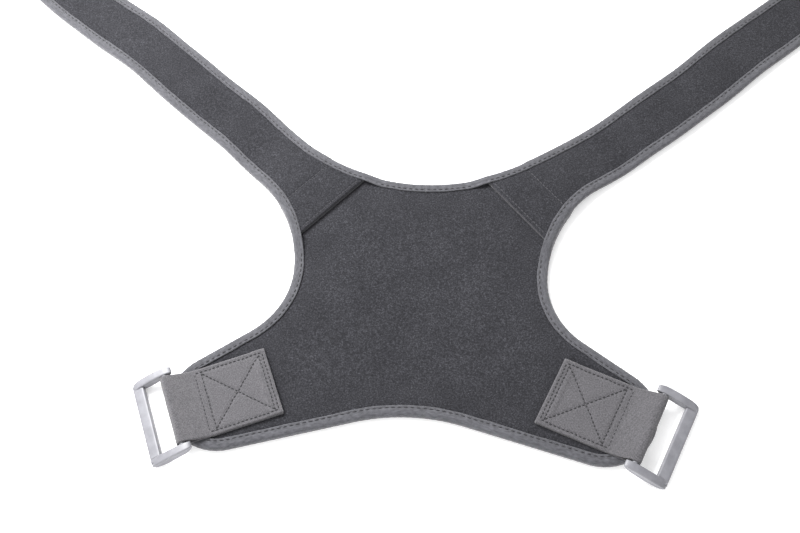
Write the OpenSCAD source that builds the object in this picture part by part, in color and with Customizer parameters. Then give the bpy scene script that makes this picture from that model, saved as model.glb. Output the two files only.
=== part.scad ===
// Breastplate of padded loop fabric, in millimetres.
// A waisted panel is bound with tape. Two shoulder straps are sewn over its top corners,
// and a webbing tab on each lower lobe holds a moulded ring.
// The back of the panel lies in the plane Z = 0, and the object is symmetric about X = 0.

/* [Panel outline] */
// Height of the lowest point of the neck curve
neck_y = 78; // [70:1:86]
// Radius of the neck curve
neck_r = 137; // [125:1:150]
// Half the width at the waist
waist_half = 88; // [84:1:92]
// Height of the waist
waist_y = 2; // [0:1:6]
// Radius of the side curve below the waist
hip_r = 59; // [52:1:64]
// Distance of a lobe's centre from the middle
lobe_x = 125; // [121:1:130]
// Distance of a lobe's centre below the origin
lobe_y = 98; // [95:1:102]
// Radius of a lobe
lobe_r = 35; // [32:1:36]
// Distance of the arch between the lobes below the origin
arch_y = 104; // [100:1:108]
// Radius of the arch between the lobes
arch_r = 133; // [120:1:150]

/* [Layers] */
// Thickness of the back lining with its glued knit
lining_t = 1.6; // [1.2:0.1:2]
// Thickness of the foam
foam_t = 2.8; // [2:0.1:4]
// Thickness of the loop fabric on the front
face_t = 1; // [0.6:0.1:1.4]
// Thickness of the binding tape
tape_t = 0.8; // [0.5:0.1:1]
// Width of the binding tape on each face
tape_w = 7; // [5:0.5:8]

/* [Straps] */
// Width of a shoulder strap
strap_w = 47; // [44:1:50]
// Thickness of a strap inside its binding
strap_t = 3; // [2.5:0.1:3.5]
// Angle of a strap above the X axis
strap_angle = 41.3; // [39:0.1:44]
// Length of a strap beyond its fold at the panel
strap_len = 420; // [380:5:460]
// Length of the end that folds back on its hook tape
end_len = 120; // [100:5:140]
// Corner radius of the strap's tip
tip_r = 16; // [10:1:20]
// Length of strap that is sewn onto the panel
lap_len = 28; // [24:1:32]
// Distance over which the strap comes down from the panel to the table
ramp_len = 50; // [40:1:70]

/* [Hook tape] */
// Length of the hook tape
hook_len = 88; // [70:1:90]
// Width of the hook tape
hook_w = 31; // [25:1:32]
// Thickness of the hook tape
hook_t = 1.2; // [1:0.1:1.3]

/* [Webbing tab] */
// Width of the webbing
web_w = 50; // [48:0.5:50.5]
// Thickness of one ply of webbing
web_t = 1.3; // [1.2:0.1:1.4]
// Distance of the webbing's folded end from the middle
tab_x = 157.5; // [155:0.5:160]
// Distance of the webbing's folded end below the origin
tab_y = 110.5; // [109:0.5:112]
// Angle of the tab below the X axis
tab_angle = 22.4; // [20:0.1:24]
// Length of the tab from its sewn end to its fold
tab_len = 72; // [66:1:76]
// Length of the loop beyond the last row of stitches
loop_len = 22; // [21:1:24]

/* [Ring] */
// Length of the slot
slot_len = 52; // [51.5:0.5:54]
// Size of the ring across its bars
ring_w = 30; // [29:0.5:31]
// Width of an end arm
arm_w = 5.75; // [5:0.25:7]
// Thickness at the middle of an end arm
arm_t = 6.8; // [6:0.1:7]
// Width of the outer bar
bar_w = 8; // [7:0.5:9]
// Thickness of the outer bar
bar_t = 4; // [3.5:0.1:4.5]
// Radius of the round bar inside the webbing
pin_r = 2.2; // [2:0.1:2.4]
// Distance of the round bar's axis from the ring's inner edge
pin_in = 6; // [5:0.5:6.5]
// Slope of the ring as it lies with its outer bar on the table
ring_tilt = 20.5; // [18:0.1:22]

/* [Hidden] */

fabric = [0.24, 0.24, 0.26];
padding = [0.55, 0.55, 0.57];
tape = [0.33, 0.33, 0.35];
webbing = [0.38, 0.38, 0.4];
moulding = [0.6, 0.6, 0.63];
hooks = [0.15, 0.15, 0.16];

arc_sag = 0.12;     // how far the chords of an arc may cut inside it
ease = 0.2;         // room between the panel's layers and the tape, for the chords of their arcs
gap = 0.4;          // clearance on each side of a fold
notch = 5.2;        // how far a fold's underside is cut back

face_top = lining_t + foam_t + face_t;
edge_top = face_top + tape_t;
lap_top = face_top + strap_t + tape_t;
band_t = strap_t + 2 * tape_t;

// Heights of the fold lines: just above what folds
fold_z = lap_top + 0.2;
end_fold_z = band_t + 0.6;

// A strap's frame has its origin where its upper edge leaves the neck curve, and X along it
neck_c = [0, neck_y + neck_r];
strap_foot = neck_c + (neck_r + strap_w / 2) * [sin(strap_angle), -cos(strap_angle)];
overhang = 7;                       // bare strap between the panel's end and the fold
panel_end = -28;                    // where the panel ends under the strap
fold_s = panel_end + overhang;
lap_s = panel_end - lap_len;
tip_s = fold_s + strap_len;
end_fold_s = tip_s - end_len;

// The upper side curve touches both the strap's lower edge and the waist
side_r = ((strap_foot.y - waist_y) * cos(strap_angle)
    - (strap_foot.x - waist_half) * sin(strap_angle) - strap_w / 2) / (1 - sin(strap_angle));
side_c = [waist_half + side_r, waist_y];
side_s = (side_c - strap_foot) * [cos(strap_angle), sin(strap_angle)];

// Headings of the straight edges between the hip, the lobe and the arch
hip_c = [waist_half + hip_r, waist_y];
lobe_c = [lobe_x, -lobe_y];
arch_c = [0, -arch_y - arch_r];
hip_heading = bearing(hip_c, lobe_c) + asin((hip_r + lobe_r) / norm(lobe_c - hip_c));
lobe_heading = bearing(lobe_c, arch_c) - asin((lobe_r + arch_r) / norm(arch_c - lobe_c));
tape_join = -38;    // where on the lobe the side and bottom tapes meet, under the tab
tape_step = 0.05;   // gap where a tape steps up from the panel onto a strap

// The ring's round bar, measured from the webbing's fold
fold_r = pin_r + 0.2 + web_t;
pin_x = -fold_r;
pin_z = edge_top + 0.2 + fold_r;

function bearing(a, b) = atan2(b.y - a.y, b.x - a.x);

function arc(c, r, a0, a1) =
    let (n = max(1, ceil(abs(a1 - a0) / (2 * acos(1 - arc_sag / r)))))
    [for (i = [0:n]) let (a = a0 + (a1 - a0) * i / n) c + r * [cos(a), sin(a)]];

function reverse(list) = [for (i = [len(list) - 1:-1:0]) list[i]];

function mirrored(list) = [for (p = reverse(list)) [-p.x, p.y]];

// A point of the strap's frame, in the object's frame
function from_strap(p) = strap_foot
    + p.x * [cos(strap_angle), sin(strap_angle)] + p.y * [-sin(strap_angle), cos(strap_angle)];

// Where the neck curve and the side curve, drawn in by k, pass the distance s along the strap
function neck_at(s, k) = strap_angle - 90 - asin(max(0, -s) / (neck_r + k));
function side_at(s, k) = strap_angle + 90 + asin(max(0, side_s - s) / (side_r + k));

// The right half of the outline as stretches, clockwise from the neck, drawn in by k.
// Those that meet a strap run to or from a distance s along it.
function neck_to(s, k) = arc(neck_c, neck_r + k, -90, neck_at(s, k));
function neck_lap(k) = arc(neck_c, neck_r + k, neck_at(lap_s, k), neck_at(fold_s, k));
function side_lap(k) = arc(side_c, side_r + k, side_at(fold_s, k), side_at(lap_s, k));
function side_from(s, k) = concat(
    arc(side_c, side_r + k, side_at(s, k), 180),
    arc(hip_c, hip_r + k, 180, 270 + hip_heading),
    arc(lobe_c, lobe_r - k, 90 + hip_heading, tape_join)
);
function bottom_half(k) = concat(
    arc(lobe_c, lobe_r - k, tape_join, lobe_heading + 90),
    arc(arch_c, arch_r + k, lobe_heading + 270, 90)
);

// The edges of a strap from s0, where it may still be part of the curves, to s1
function strap_top(s0, s1, k) = concat(
    arc(neck_c, neck_r + k, neck_at(s0, k), neck_at(0, k)),
    [from_strap([s1, strap_w / 2 - k])]
);
function strap_bottom(s0, s1, k) = concat(
    [from_strap([s1, k - strap_w / 2])],
    arc(side_c, side_r + k, side_at(side_s, k), side_at(s0, k))
);

// The rounded end of a strap's last stretch, from s0
function end_edge(s0, k) = let (x = tip_s - tip_r, y = strap_w / 2 - tip_r) concat(
    [[s0, strap_w / 2 - k]],
    arc([x, y], tip_r - k, 90, 0),
    arc([x, -y], tip_r - k, 0, -90),
    [[s0, k - strap_w / 2]]
);

module left() {
    mirror([1, 0, 0]) children();
}

module on_strap() {
    translate(strap_foot) rotate(strap_angle) children();
}

module on_tab() {
    translate([tab_x, -tab_y]) rotate(-tab_angle) children();
}

// Extrudes a side view, drawn with X along and Y up, to a width across the strap or tab
module across(width) {
    rotate([90, 0, 0]) translate([0, 0, -width / 2]) linear_extrude(width) children();
}

// The plan of the panel, drawn in by k
module panel_plan(k) {
    right = concat(neck_to(panel_end, k), side_from(panel_end, k), bottom_half(k));
    polygon(concat(right, mirrored(right)));
}

// Keeps the panel's side of the strap's fold
module fold_inside() {
    on_strap() across(3 * strap_w) polygon([
        [lap_s - 9, -1], [lap_s - 9, 20], [fold_s - gap, 20], [fold_s - gap, fold_z - 0.3],
        [fold_s - notch, face_top], [panel_end, face_top], [panel_end, -1],
    ]);
}

// Keeps the strap between its two folds
module strap_between() {
    low_z = fold_z - band_t - 0.8;
    on_strap() across(2 * strap_w) polygon([
        [fold_s + gap, 20], [fold_s + gap, fold_z - 0.3], [fold_s + notch, low_z],
        [fold_s + notch, -1], [end_fold_s - notch, -1], [end_fold_s - notch, 0],
        [end_fold_s - gap, end_fold_z - 0.4], [end_fold_s - gap, 20],
    ]);
}

// Keeps the strap's end beyond its fold
module end_outside() {
    on_strap() across(2 * strap_w) polygon([
        [end_fold_s + gap, 20], [end_fold_s + gap, end_fold_z - 0.4], [end_fold_s + notch, 0],
        [end_fold_s + notch, -1], [tip_s + 9, -1], [tip_s + 9, 20],
    ]);
}

// A slab that follows the strap down its ramp and along the table, h to each side of its middle
module strap_slab(h) {
    start_z = face_top + strap_t / 2;
    flat_z = band_t / 2;
    on_strap() across(2 * strap_w) polygon([
        [fold_s, start_z + h], [fold_s + ramp_len, flat_z + h], [end_fold_s, flat_z + h],
        [end_fold_s, flat_z - h], [fold_s + ramp_len, flat_z - h], [fold_s, start_z - h],
    ]);
}

// Tape folded over an edge up to the height top. The paths run along the edge,
// along the tape's inner side and along the edges of its two faces.
module edge_tape(edge, inside, faces, beyond, top) {
    difference() {
        linear_extrude(top) polygon(concat(edge, reverse(faces)));
        translate([0, 0, tape_t]) linear_extrude(top - 2 * tape_t)
            polygon(concat(inside, reverse(beyond)));
    }
}

module panel_lining() {
    color(padding) {
        linear_extrude(tape_t) panel_plan(tape_w + ease);
        translate([0, 0, tape_t]) linear_extrude(lining_t - tape_t) panel_plan(tape_t + ease);
    }
}

module panel_foam() {
    color(padding) translate([0, 0, lining_t]) linear_extrude(foam_t) panel_plan(tape_t + ease);
}

module panel_face() {
    color(fabric) translate([0, 0, lining_t + foam_t]) linear_extrude(face_t) panel_plan(tape_t + ease);
}

// The neck's tape is low between the straps and high along each sewn lap
module neck_binding() {
    function low(k) = let (right = neck_to(lap_s - tape_step, k)) concat(mirrored(right), right);
    color(tape) {
        edge_tape(low(0), low(tape_t), low(tape_w), low(tape_w + 1), edge_top);
        neck_lap_tape();
        left() neck_lap_tape();
    }
}

module neck_lap_tape() {
    intersection() {
        edge_tape(neck_lap(0), neck_lap(tape_t), neck_lap(tape_w), neck_lap(tape_w + 1), lap_top);
        fold_inside();
    }
}

module side_binding() {
    function low(k) = side_from(lap_s - tape_step, k);
    color(tape) {
        edge_tape(low(0), low(tape_t), low(tape_w), low(tape_w + 1), edge_top);
        intersection() {
            edge_tape(side_lap(0), side_lap(tape_t), side_lap(tape_w), side_lap(tape_w + 1), lap_top);
            fold_inside();
        }
    }
}

module bottom_binding() {
    function low(k) = let (right = bottom_half(k)) concat(right, mirrored(right));
    color(tape) edge_tape(low(0), low(tape_t), low(tape_w), low(tape_w + 1), edge_top);
}

module strap_root() {
    edge = concat(neck_lap(tape_t), side_lap(tape_t));
    color(fabric) intersection() {
        translate([0, 0, face_top]) linear_extrude(strap_t) polygon(edge);
        fold_inside();
    }
}

module strap() {
    edge = concat(strap_top(fold_s, end_fold_s, tape_t), strap_bottom(fold_s, end_fold_s, tape_t));
    color(fabric) intersection() {
        linear_extrude(20) polygon(edge);
        strap_slab(strap_t / 2);
        strap_between();
    }
}

// Tape folded over one edge of the strap. The paths are those of edge_tape.
module strap_tape(edge, inside, faces, beyond) {
    color(tape) intersection() {
        difference() {
            linear_extrude(20) polygon(concat(edge, reverse(faces)));
            intersection() {
                linear_extrude(20) polygon(concat(inside, reverse(beyond)));
                strap_slab(strap_t / 2);
            }
        }
        strap_slab(band_t / 2);
        strap_between();
    }
}

module strap_upper_binding() {
    function path(k) = strap_top(fold_s, end_fold_s, k);
    strap_tape(path(0), path(tape_t), path(tape_w), path(tape_w + 1));
}

module strap_lower_binding() {
    function path(k) = strap_bottom(fold_s, end_fold_s, k);
    strap_tape(path(0), path(tape_t), path(tape_w), path(tape_w + 1));
}

module strap_end() {
    color(fabric) intersection() {
        on_strap() translate([0, 0, tape_t]) linear_extrude(strap_t) polygon(end_edge(end_fold_s, tape_t));
        end_outside();
    }
}

module end_binding() {
    function path(k) = end_edge(end_fold_s, k);
    color(tape) intersection() {
        on_strap() edge_tape(path(0), path(tape_t), path(tape_w), path(tape_w + 1), band_t);
        end_outside();
    }
}

module hook_tape() {
    s1 = tip_s - tape_w - 1;
    corner_r = 8;
    color(hooks) on_strap() translate([0, 0, band_t - tape_t]) linear_extrude(hook_t) hull() {
        for (s = [s1 - hook_len + corner_r, s1 - corner_r], t = [-1, 1]) {
            translate([s, t * (hook_w / 2 - corner_r)]) circle(corner_r, $fn = 48);
        }
    }
}

module tab() {
    color(webbing) on_tab() translate([-tab_len, -web_w / 2, face_top])
        cube([tab_len - loop_len - gap, web_w, 2 * web_t]);
}

// The webbing beyond the last stitches: two plies that part to pass round the ring's bar
module tab_loop() {
    row_x = gap - loop_len;
    rise = (pin_z + fold_r - face_top - 2 * web_t) / (pin_x - row_x);
    ply_z = pin_z - fold_r + web_t;
    crotch_z = pin_z + fold_r - web_t * sqrt(1 + rise * rise);
    color(webbing) on_tab() across(web_w) difference() {
        union() {
            polygon([
                [row_x, pin_z - fold_r], [pin_x, pin_z - fold_r],
                [pin_x, pin_z + fold_r], [row_x, face_top + 2 * web_t],
            ]);
            translate([pin_x, pin_z]) circle(fold_r, $fn = 48);
        }
        translate([pin_x, pin_z]) circle(fold_r - web_t, $fn = 48);
        polygon([[pin_x, ply_z], [pin_x, crotch_z], [pin_x - (crotch_z - ply_z) / rise, ply_z]]);
    }
}

// Half the thickness of an end arm at the distance u from the round bar
function arm_half(u) =
    let (x = (u + pin_in - ring_w / 2) / (ring_w / 2))
    bar_t / 2 + (arm_t - bar_t) / 2 * (1 - x * x);

// The side view of an end arm: arched on both faces, with round ends
module arm_side() {
    end_r = bar_t / 2;
    u0 = end_r - pin_in;
    u1 = ring_w - pin_in - end_r;
    steps = 12;
    along = [for (i = [0:steps]) u0 + (u1 - u0) * i / steps];
    polygon(concat(
        [for (u = along) [u, arm_half(u)]],
        [for (u = reverse(along)) [u, -arm_half(u)]]
    ));
    for (u = [u0, u1]) {
        translate([u, 0]) circle(arm_half(u), $fn = 32);
    }
}

module ring() {
    v = slot_len / 2 + arm_w / 2;
    bar_u = ring_w - pin_in - bar_w;
    color(moulding) on_tab() translate([pin_x, 0, pin_z]) rotate([0, ring_tilt, 0]) {
        for (side = [-1, 1]) {
            translate([0, side * v, 0]) across(arm_w) arm_side();
        }
        across(slot_len + arm_w) circle(pin_r, $fn = 48);
        across(slot_len + arm_w) {
            translate([bar_u + bar_t / 2, -bar_t / 2]) square([bar_w - bar_t, bar_t]);
            for (u = [bar_u + bar_t / 2, bar_u + bar_w - bar_t / 2]) {
                translate([u, 0]) circle(bar_t / 2, $fn = 32);
            }
        }
    }
}

panel_lining();
panel_foam();
panel_face();
neck_binding();
left() side_binding();  // left_side_binding
side_binding();  // right_side_binding
bottom_binding();
left() strap_root();  // left_strap_root
strap_root();  // right_strap_root
left() tab();  // left_tab
tab();  // right_tab
left() strap();  // left_strap
left() strap_upper_binding();  // left_strap_upper_binding
left() strap_lower_binding();  // left_strap_lower_binding
strap();  // right_strap
strap_upper_binding();  // right_strap_upper_binding
strap_lower_binding();  // right_strap_lower_binding
left() strap_end();  // left_strap_end
left() end_binding();  // left_end_binding
left() hook_tape();  // left_hook_tape
strap_end();  // right_strap_end
end_binding();  // right_end_binding
hook_tape();  // right_hook_tape
left() tab_loop();  // left_tab_loop
tab_loop();  // right_tab_loop
left() ring();  // left_ring
ring();  // right_ring
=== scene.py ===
"""The breastplate's looks: padded cloth, bound edges, stitches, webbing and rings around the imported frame.

Lengths are in millimetres until a mesh is made. The right half is built, and the left is its mirror image.
A strap's own frame has s along the strap and t across it, and a tab's has x along it, with its fold at 0.
"""

import math
from functools import partial

import bpy
import numpy as np
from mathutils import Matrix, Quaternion, Vector, geometry


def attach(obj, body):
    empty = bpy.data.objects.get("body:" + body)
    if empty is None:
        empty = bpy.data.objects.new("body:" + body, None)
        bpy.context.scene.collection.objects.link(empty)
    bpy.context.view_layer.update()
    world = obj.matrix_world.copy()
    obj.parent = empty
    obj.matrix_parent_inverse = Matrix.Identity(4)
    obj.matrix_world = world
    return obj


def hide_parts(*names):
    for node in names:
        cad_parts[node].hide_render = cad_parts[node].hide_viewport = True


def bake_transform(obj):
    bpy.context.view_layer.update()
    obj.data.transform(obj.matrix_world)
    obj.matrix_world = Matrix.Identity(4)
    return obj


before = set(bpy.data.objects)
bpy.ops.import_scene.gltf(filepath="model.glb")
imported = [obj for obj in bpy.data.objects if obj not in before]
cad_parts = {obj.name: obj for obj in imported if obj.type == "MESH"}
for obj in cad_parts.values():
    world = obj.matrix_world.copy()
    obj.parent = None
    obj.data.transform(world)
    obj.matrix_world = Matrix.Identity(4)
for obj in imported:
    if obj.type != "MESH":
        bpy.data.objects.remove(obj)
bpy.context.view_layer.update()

MM = 0.001      # metres in a millimetre
SIDES = {"left": -1, "right": 1}
UP = np.array([0.0, 0.0, 1.0])

# The driving sizes of the CAD model
NECK_Y, NECK_R = 78, 137
WAIST_HALF, WAIST_Y, HIP_R = 88, 2, 59
LOBE_C, LOBE_R = np.array([125.0, -98.0]), 35
ARCH_Y, ARCH_R = 104, 133
LINING_T, FACE_TOP = 1.6, 5.4
TAPE_T, TAPE_W = 0.8, 7
STRAP_W, STRAP_T = 47, 3
STRAP_ANGLE = math.radians(41.3)
STRAP_LEN, END_LEN, TIP_R, RAMP_LEN = 420, 120, 16, 50
HOOK_LEN, HOOK_W = 88, 31
WEB_W, WEB_T = 50, 1.3
TAB_FOLD, TAB_ANGLE = np.array([157.5, -110.5]), math.radians(-22.4)
TAB_LEN, LOOP_LEN, HEM_LEN = 72, 22, 9.5
SLOT_LEN, RING_W, ARM_W, ARM_T = 52, 30, 5.75, 6.8
BAR_W, BAR_T, PIN_R, PIN_IN = 8, 4, 2.2, 6
RING_TILT = math.radians(20.5)

# What follows from them
EDGE_TOP = FACE_TOP + TAPE_T
BAND_T = STRAP_T + 2 * TAPE_T
LAP_TOP = FACE_TOP + STRAP_T + TAPE_T
PANEL_END, FOLD_S, LAP_S = -28, -21, -56
TIP_S = FOLD_S + STRAP_LEN
END_FOLD_S = TIP_S - END_LEN
SPLIT_S = END_FOLD_S - 12
FOLD_R = PIN_R + 0.2 + WEB_T
PIN_X, PIN_Z = -FOLD_R, EDGE_TOP + 0.2 + FOLD_R
ALONG = np.array([math.cos(STRAP_ANGLE), math.sin(STRAP_ANGLE)])
ACROSS = np.array([-ALONG[1], ALONG[0]])
NECK_C = np.array([0.0, NECK_Y + NECK_R])
STRAP_FOOT = NECK_C - (NECK_R + STRAP_W / 2) * ACROSS
SIDE_R = (
    (STRAP_FOOT[1] - WAIST_Y) * ALONG[0] - (STRAP_FOOT[0] - WAIST_HALF) * ALONG[1] - STRAP_W / 2
) / (1 - ALONG[1])
SIDE_C = np.array([WAIST_HALF + SIDE_R, WAIST_Y])
HIP_C = np.array([WAIST_HALF + HIP_R, WAIST_Y])
ARCH_C = np.array([0.0, -ARCH_Y - ARCH_R])
TAPE_JOIN = math.radians(-38)
HEM_RISE = 0.55     # how far the turned hem of a tab stands up

# Threads
PITCH, TAB_PITCH, LAP_PITCH = 4.2, 2.9, 3.2
THREAD_R, LAP_THREAD_R, HOOK_THREAD_R = 0.42, 0.26, 0.27
STITCH_FILL = 0.8   # how much of the pitch a stitch shows
ROW_IN = 5.4        # how far a binding's row of stitches is from the edge

# Cloth
STRAP_INSET = 1.3   # how far the strap's cloth stays inside its outline
CROWN = 0.7         # how far the strap's cloth swells above its edges
ROW_NIP = 0.25      # how deep a row of stitches pulls into the strap's cloth
LAP_ROW = LAP_S + 2.4
FOLD_FROM = FOLD_S - 4      # where the strap starts to leave the panel
PANEL_STEP = 2.6    # spacing of the points of the panel's cloth
PANEL_INSET = 2.0   # how far the panel's cloth stays inside its outline
PUFF_CAP = 1.5      # the most that the panel's cloth may rise


# ---- outline


def bearing(a, b):
    return math.atan2(b[1] - a[1], b[0] - a[0])


HIP_HEADING = bearing(HIP_C, LOBE_C) + math.asin((HIP_R + LOBE_R) / np.linalg.norm(LOBE_C - HIP_C))
LOBE_HEADING = bearing(LOBE_C, ARCH_C) - math.asin((LOBE_R + ARCH_R) / np.linalg.norm(ARCH_C - LOBE_C))


def arc(c, r, a0, a1):
    """Points about a millimetre apart on an arc from angle a0 to a1."""
    n = max(2, math.ceil(abs(a1 - a0) * r))
    a = np.linspace(a0, a1, n)
    return c + r * np.stack([np.cos(a), np.sin(a)], 1)


def from_strap(s, t):
    """A point or points of the strap's frame, in plan."""
    return STRAP_FOOT + np.multiply.outer(s, ALONG) + np.multiply.outer(t, ACROSS)


def to_strap(xy):
    """How far along and across the strap points in plan are."""
    d = xy - STRAP_FOOT
    return d @ ALONG, d @ ACROSS


def neck_at(s, k):
    """The angle at which the neck curve, drawn in by k, passes s."""
    return STRAP_ANGLE - math.pi / 2 - math.asin(max(0, -s) / (NECK_R + k))


def side_at(s, k):
    """The angle at which the side curve, drawn in by k, passes s."""
    side_s = (SIDE_C - STRAP_FOOT) @ ALONG
    return STRAP_ANGLE + math.pi / 2 + math.asin(max(0, side_s - s) / (SIDE_R + k))


def upper_edge(s, k=0.0):
    """The neck from its middle and on along the strap's upper edge to s, drawn in by k."""
    curve = arc(NECK_C, NECK_R + k, -math.pi / 2, neck_at(min(s, 0), k))
    if s <= 0:
        return curve
    return np.concatenate([curve, from_strap(np.linspace(0, s, int(s)), STRAP_W / 2 - k)[1:]])


def lower_edge(s, k=0.0):
    """The strap's lower edge from s, and on down the side to the middle of the lobe."""
    curve = [
        arc(SIDE_C, SIDE_R + k, side_at(min(s, 0), k), math.pi),
        arc(HIP_C, HIP_R + k, math.pi, 1.5 * math.pi + HIP_HEADING),
        arc(LOBE_C, LOBE_R - k, math.pi / 2 + HIP_HEADING, TAPE_JOIN),
    ]
    if s > 0:
        curve.insert(0, from_strap(np.linspace(s, 0, int(s)), k - STRAP_W / 2)[:-1])
    return np.concatenate(curve)


def bottom_edge(k=0.0):
    """The arch and the lower part of both lobes, from the right tab to the left."""
    right = np.concatenate(
        [
            arc(LOBE_C, LOBE_R - k, TAPE_JOIN, LOBE_HEADING + math.pi / 2),
            arc(ARCH_C, ARCH_R + k, LOBE_HEADING + 1.5 * math.pi, math.pi / 2),
        ]
    )
    return np.concatenate([right, right[-2::-1] * [-1, 1]])


def end_edge(s, k=0.0):
    """The strap's edge from s on the upper side, round the tip, to s on the lower side."""
    x, y = TIP_S - TIP_R, STRAP_W / 2 - TIP_R
    straight = np.linspace(s, x, int(x - s))[:-1]
    local = np.concatenate(
        [
            np.stack([straight, np.full(len(straight), STRAP_W / 2 - k)], 1),
            arc(np.array([x, y]), TIP_R - k, math.pi / 2, 0),
            arc(np.array([x, -y]), TIP_R - k, 0, -math.pi / 2),
            np.stack([straight[::-1], np.full(len(straight), k - STRAP_W / 2)], 1),
        ]
    )
    return from_strap(local[:, 0], local[:, 1])


def panel_edge(k):
    """The closed outline of the panel."""
    right = np.concatenate([upper_edge(PANEL_END, k), lower_edge(PANEL_END, k)])
    return np.concatenate([right, bottom_edge(k), right[:0:-1] * [-1, 1]])


def resample(path, step):
    """Points about step apart along a polyline, and how far along it each one is."""
    d = np.linalg.norm(np.diff(path, axis=0), axis=1)
    keep = np.concatenate([[True], d > 1e-6])
    path = path[keep]
    at = np.concatenate([[0], np.cumsum(d[d > 1e-6])])
    want = np.linspace(0, at[-1], max(2, round(at[-1] / step) + 1))
    return np.stack([np.interp(want, at, path[:, i]) for i in range(path.shape[1])], 1), want


def tangents(path):
    """Unit vectors along a path."""
    t = np.gradient(path, axis=0)
    return t / np.linalg.norm(t, axis=1)[:, None]


def smooth(x, low, high):
    """0 up to low, 1 from high, and a smooth step between them."""
    u = np.clip((x - low) / (high - low), 0, 1)
    return u * u * (3 - 2 * u)


def bump(x, at, width):
    """A bell of height 1."""
    return np.exp(-(((x - at) / width) ** 2))


def waves(x, seed, *lengths):
    """A gentle irregular wave of about unit height, from sines of these wavelengths."""
    phase = np.random.default_rng(seed).uniform(0, 2 * math.pi, len(lengths))
    return sum(np.sin(2 * math.pi * x / w + p) for w, p in zip(lengths, phase)) / len(lengths)


# ---- heights of the cloth along a strap


def ramp(s):
    """1 on the panel, 0 on the table."""
    return 1 - smooth(s, FOLD_FROM, FOLD_S + RAMP_LEN)


def top_of(s):
    """The tape's top: low on the panel, high on the lap, low again on the table."""
    step = smooth(s, LAP_S - 11, LAP_S + 4)
    on_lap = EDGE_TOP + (LAP_TOP - EDGE_TOP) * step
    return np.where(s < FOLD_FROM, on_lap, BAND_T + (LAP_TOP - BAND_T) * ramp(s))


def panel_top(s):
    """The height of the tape's top where no strap lies under it."""
    return np.full(len(s), EDGE_TOP)


def panel_under(s):
    """The height of the tape's underside where no strap lies under it."""
    return np.zeros(len(s))


def under_of(s):
    """The tape's underside: on the table, then under the strap once the panel has ended."""
    lifted = (LAP_TOP - BAND_T) * ramp(s)
    return lifted * smooth(s, PANEL_END - 1, PANEL_END + 5)


# ---- meshes


def make(name, verts, faces, uvs, material):
    """A mesh object. verts and uvs are in millimetres, and uvs has a row for each corner of each face."""
    mesh = bpy.data.meshes.new(name)
    mesh.from_pydata((np.asarray(verts) * MM).tolist(), [], [tuple(f) for f in faces])
    layer = mesh.uv_layers.new(name="weave")
    layer.data.foreach_set("uv", (np.asarray(uvs) * MM).astype(np.float32).ravel())
    mesh.polygons.foreach_set("use_smooth", [len(f) <= 4 for f in faces])
    mesh.materials.append(material)
    mesh.validate()
    obj = bpy.data.objects.new(name, mesh)
    bpy.context.scene.collection.objects.link(obj)
    return obj


def grid(points, u, v):
    """A tube with capped ends, from rings of points: its vertices, faces and corner UVs.

    points is rings by points of a ring by 3. u is the UV along the tube, and v the one round it.
    """
    rows, cols = points.shape[:2]
    i, j = (a.ravel() for a in np.meshgrid(np.arange(rows - 1), np.arange(cols), indexing="ij"))
    k = (j + 1) % cols
    faces = np.stack([(i + 1) * cols + j, (i + 1) * cols + k, i * cols + k, i * cols + j], 1)
    corners = ((i + 1, j), (i + 1, j + 1), (i, j + 1), (i, j))
    uvs = np.stack([np.stack([u[a], v[b]], 1) for a, b in corners], 1).reshape(-1, 2)
    faces = [tuple(f) for f in faces]
    caps = [list(range(cols)), [(rows - 1) * cols + c for c in range(cols - 1, -1, -1)]]
    for cap, at in zip(caps, (0, -1)):
        faces.append(tuple(cap))
        uvs = np.concatenate([uvs, [[u[at], v[c % cols]] for c in cap]])
    return points.reshape(-1, 3), faces, uvs


def repeated(tubes, u, v):
    """Many tubes alike as one part. tubes is tubes by rings by points of a ring by 3."""
    verts, faces, uvs = grid(tubes[0], u, v)
    every = [tuple(x + i * len(verts) for x in f) for i in range(len(tubes)) for f in faces]
    return tubes.reshape(-1, 3), every, np.tile(uvs, (len(tubes), 1))


def merge(*parts):
    """Several (verts, faces, uvs) as one."""
    verts, faces, uvs, n = [], [], [], 0
    for v, f, t in parts:
        verts.append(v)
        faces += [tuple(int(a) + n for a in x) for x in f]
        uvs.append(t)
        n += len(v)
    return np.concatenate(verts), faces, np.concatenate(uvs)


def mirrored(part):
    """The part on the other side of the line of symmetry, with its faces still outwards."""
    verts, faces, uvs = part
    out, start = [], 0
    for f in faces:
        out.append(uvs[start : start + len(f)][::-1])
        start += len(f)
    return verts * [-1, 1, 1], [tuple(f[::-1]) for f in faces], np.concatenate(out)


def lay(verts, side):
    """How a strap lies: its edges wander a little, it drifts sideways and lifts a little off the table."""
    s, t = to_strap(verts[:, :2])
    loose = smooth(s, FOLD_S + 22, FOLD_S + 75)
    near, far, start, end = {"left": (2.2, -5.2, 150, 250), "right": (-2.9, 5.2, 80, 210)}[side]
    sway = near * smooth(s, -15, 45) + far * smooth(s, start, end)
    seed = {"left": 3, "right": 8}[side]
    breadth = t / (STRAP_W / 2) * waves(s, seed, 88, 61, 140) * 0.5
    lateral = sway + loose * (waves(s, seed + 1, 120, 83, 170) * 0.4 + breadth)
    lift = loose * (0.9 + 0.9 * waves(s, seed + 2, 118, 77, 190)) * (1 - smooth(s, TIP_S - 40, TIP_S))
    curl = loose * 0.5 * (t / (STRAP_W / 2)) ** 2 * (1 + waves(s, seed + 3, 90, 58))
    out = verts.copy()
    out[:, :2] += np.multiply.outer(lateral, ACROSS)
    out[:, 2] += lift + curl
    return out


def place(name, part, side, material, replaces, lays=False):
    """Makes the part for one side."""
    verts, faces, uvs = part
    if lays:
        verts = lay(verts, side)
    if side == "left":
        verts, faces, uvs = mirrored((verts, faces, uvs))
    obj = make(f"{side}_{name}", verts, faces, uvs, material)
    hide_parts(*replaces)
    return obj


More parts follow.
